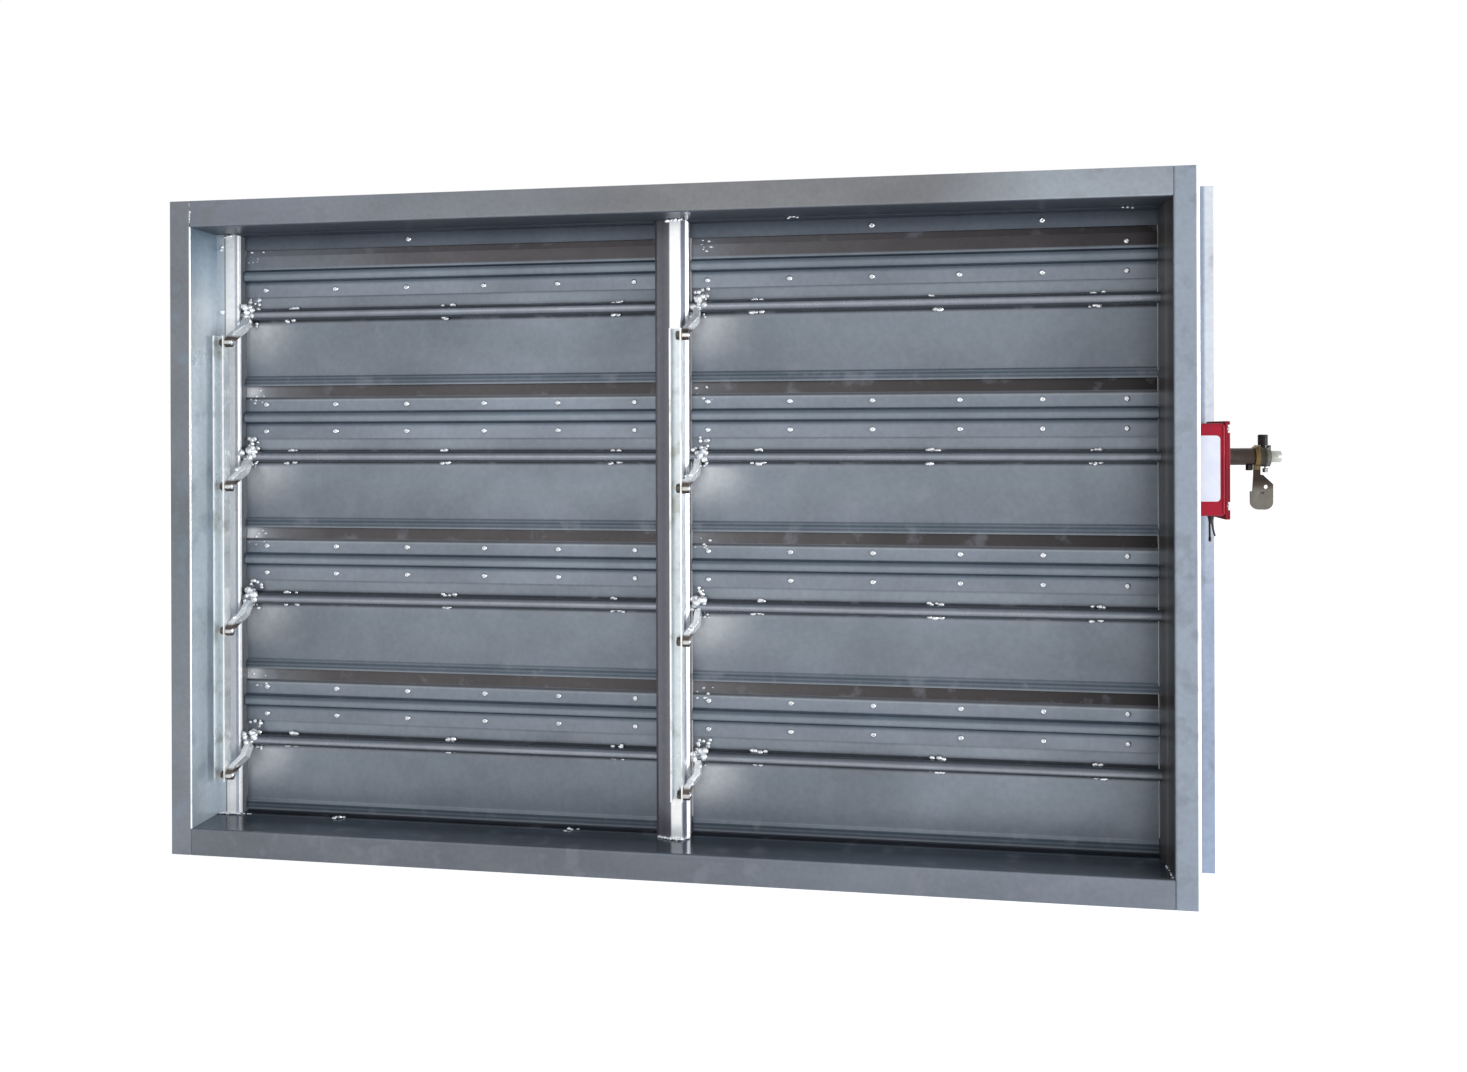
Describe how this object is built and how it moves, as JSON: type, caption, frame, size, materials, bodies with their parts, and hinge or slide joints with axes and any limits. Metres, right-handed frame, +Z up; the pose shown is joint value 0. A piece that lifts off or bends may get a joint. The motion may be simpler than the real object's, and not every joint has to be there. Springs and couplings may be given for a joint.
{
  "type": "smoke exhaust damper",
  "caption": "Duct-mounted smoke exhaust damper: linked parallel blades on shafts in a folded steel frame, turned by a drive unit with a manual lever.",
  "frame": {"origin": "middle of the duct opening's width, on the front flange face, at the lower edge of the frame", "axes": "+X along the shafts towards the drive unit, +Y through the duct from the front face to the back, +Z up"},
  "size_m": [1.42, 0.12, 0.87],
  "materials": {
    "frame_sheet": "galvanised sheet, satin with faint spangle",
    "column_sheet": "galvanised sheet, bright folded facets",
    "blade_sheet": "galvanised sheet, satin",
    "stiffener_sheet": "galvanised sheet, satin",
    "rod": "drawn steel rod",
    "crank": "zinc plated flat bar",
    "link_sheet": "zinc plated channel",
    "bright_fastener": "zinc plated",
    "red_shell": "semi-gloss red",
    "grommet": "moulded",
    "lead": "insulated lead",
    "oxide": "dark oxide",
    "hub": "dull zinc-yellow passivated",
    "black_screw": "black oxide",
    "lever_plate": "dull plate"
  },
  "bodies": {
    "frame": {"top_rail": "frame_sheet", "bottom_rail": "frame_sheet", "left_jamb": "frame_sheet", "right_jamb": "frame_sheet", "left_stile": "column_sheet", "centre_mullion": "column_sheet", "top_stop_strip": "frame_sheet", "bottom_stop_strip": "frame_sheet", "actuator_base": "frame_sheet", "actuator_casing": "red_shell", "actuator_cover": "red_shell", "lead_grommet": "grommet", "lead_long": "lead", "lead_short": "lead"},
    "drive_row": {"drive_shaft": "rod", "left_blade_2": "blade_sheet", "right_blade_2": "blade_sheet", "left_stiffener_2": "stiffener_sheet", "right_stiffener_2": "stiffener_sheet", "left_crank_2": "crank", "right_crank_2": "crank", "output_sleeve": "oxide", "sleeve_set_screw": "oxide", "lever_hub": "hub", "lever_clamp_screw": "black_screw", "lever_handle": "lever_plate", "lever_bolt": "bright_fastener"},
    "left_row_1": {"left_shaft_1": "rod", "left_blade_1": "blade_sheet", "left_stiffener_1": "stiffener_sheet", "left_crank_1": "crank"},
    "left_row_3": {"left_shaft_3": "rod", "left_blade_3": "blade_sheet", "left_stiffener_3": "stiffener_sheet", "left_crank_3": "crank"},
    "left_row_4": {"left_shaft_4": "rod", "left_blade_4": "blade_sheet", "left_stiffener_4": "stiffener_sheet", "left_crank_4": "crank"},
    "left_link": {"left_link_bar": "link_sheet"},
    "right_row_1": {"right_shaft_1": "rod", "right_blade_1": "blade_sheet", "right_stiffener_1": "stiffener_sheet", "right_crank_1": "crank"},
    "right_row_3": {"right_shaft_3": "rod", "right_blade_3": "blade_sheet", "right_stiffener_3": "stiffener_sheet", "right_crank_3": "crank"},
    "right_row_4": {"right_shaft_4": "rod", "right_blade_4": "blade_sheet", "right_stiffener_4": "stiffener_sheet", "right_crank_4": "crank"},
    "right_link": {"right_link_bar": "link_sheet"}
  },
  "joints": [
    {"name": "drive_turn", "type": "hinge", "parent": "frame", "child": "drive_row", "pos_m": [0, 0.07, 0.5285], "axis": [-1, 0, 0], "range_deg": [0, 90]},
    {"name": "left_row_1_turn", "type": "hinge", "parent": "frame", "child": "left_row_1", "pos_m": [-0.2995, 0.07, 0.7245], "axis": [-1, 0, 0], "range_deg": [0, 90]},
    {"name": "left_row_3_turn", "type": "hinge", "parent": "frame", "child": "left_row_3", "pos_m": [-0.2995, 0.07, 0.3325], "axis": [-1, 0, 0], "range_deg": [0, 90]},
    {"name": "left_row_4_turn", "type": "hinge", "parent": "frame", "child": "left_row_4", "pos_m": [-0.2995, 0.07, 0.1365], "axis": [-1, 0, 0], "range_deg": [0, 90]},
    {"name": "right_row_1_turn", "type": "hinge", "parent": "frame", "child": "right_row_1", "pos_m": [0.3315, 0.07, 0.7245], "axis": [-1, 0, 0], "range_deg": [0, 90]},
    {"name": "right_row_3_turn", "type": "hinge", "parent": "frame", "child": "right_row_3", "pos_m": [0.3315, 0.07, 0.3325], "axis": [-1, 0, 0], "range_deg": [0, 90]},
    {"name": "right_row_4_turn", "type": "hinge", "parent": "frame", "child": "right_row_4", "pos_m": [0.3315, 0.07, 0.1365], "axis": [-1, 0, 0], "range_deg": [0, 90]},
    {"name": "left_link_pivot", "type": "hinge", "parent": "drive_row", "child": "left_link", "pos_m": [-0.593, 0.038, 0.4885], "axis": [-1, 0, 0], "range_deg": [-90, 0]},
    {"name": "right_link_pivot", "type": "hinge", "parent": "drive_row", "child": "right_link", "pos_m": [0.038, 0.038, 0.4885], "axis": [-1, 0, 0], "range_deg": [-90, 0]}
  ],
  "couplings": [
    {"joint": "left_row_1_turn", "follows": "drive_turn", "ratio": 1},
    {"joint": "left_row_3_turn", "follows": "drive_turn", "ratio": 1},
    {"joint": "left_row_4_turn", "follows": "drive_turn", "ratio": 1},
    {"joint": "right_row_1_turn", "follows": "drive_turn", "ratio": 1},
    {"joint": "right_row_3_turn", "follows": "drive_turn", "ratio": 1},
    {"joint": "right_row_4_turn", "follows": "drive_turn", "ratio": 1},
    {"joint": "left_link_pivot", "follows": "drive_turn", "ratio": -1},
    {"joint": "right_link_pivot", "follows": "drive_turn", "ratio": -1}
  ]
}
